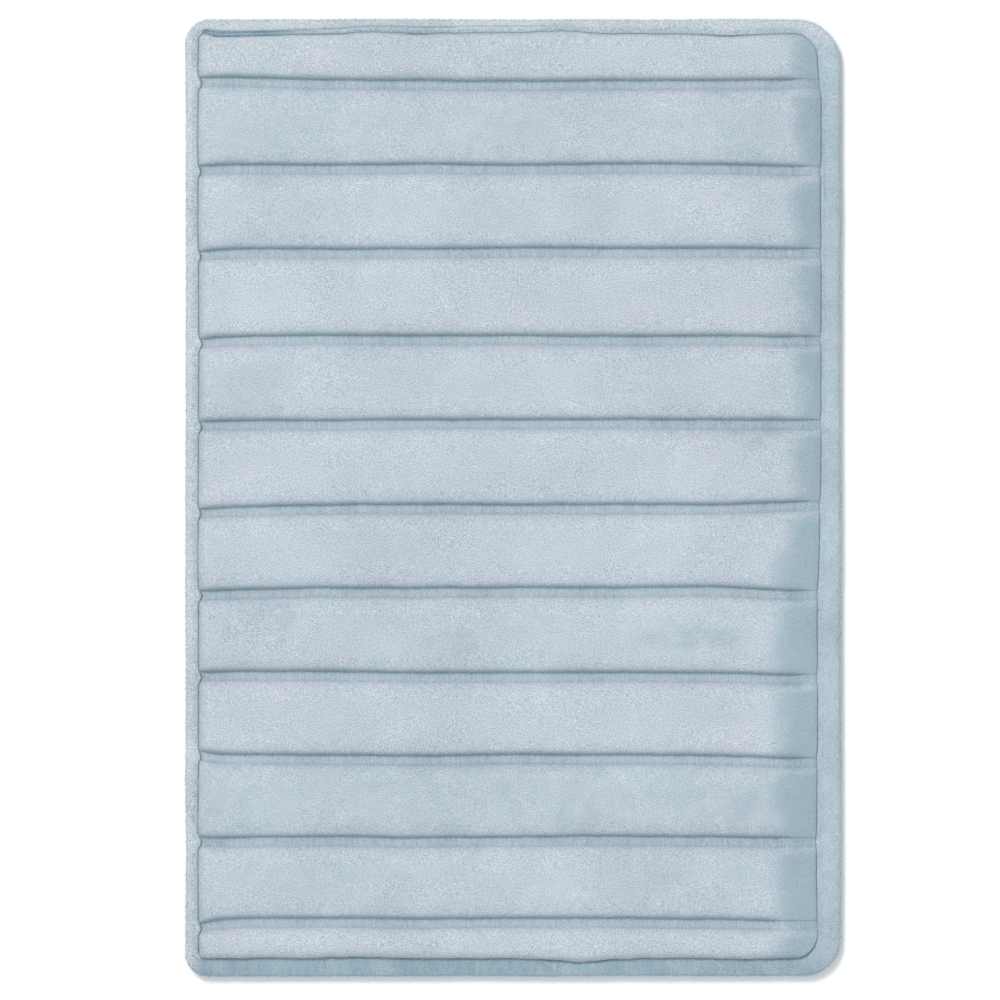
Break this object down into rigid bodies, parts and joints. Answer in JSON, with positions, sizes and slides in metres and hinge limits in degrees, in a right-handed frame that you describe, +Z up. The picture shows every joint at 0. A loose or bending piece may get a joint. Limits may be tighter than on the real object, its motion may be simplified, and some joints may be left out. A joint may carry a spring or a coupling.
{
  "type": "bath mat",
  "caption": "Rectangular memory foam bath mat with a velour face pressed into cross channels, a bound edge and a dotted non-slip underside.",
  "frame": {"origin": "on the floor under the centre of the mat's box", "axes": "+Z up, away from the floor; +Y along the mat; +X across it, along the channels"},
  "size_m": [0.425, 0.621, 0.0165],
  "materials": {
    "velour": "matte",
    "binding_velour": "matte",
    "memory_foam": "matte",
    "mesh_cloth": "matte",
    "grip_compound": "satin",
    "sewing_thread": "satin",
    "label_cloth": "satin"
  },
  "bodies": {
    "root": {"velour_cover": "velour", "foam_core": "memory_foam", "base_cloth": "mesh_cloth", "grip_dots": "grip_compound", "edge_binding": "binding_velour", "needle_thread": "sewing_thread", "bobbin_thread": "sewing_thread", "care_label": "label_cloth"}
  },
  "joints": []
}
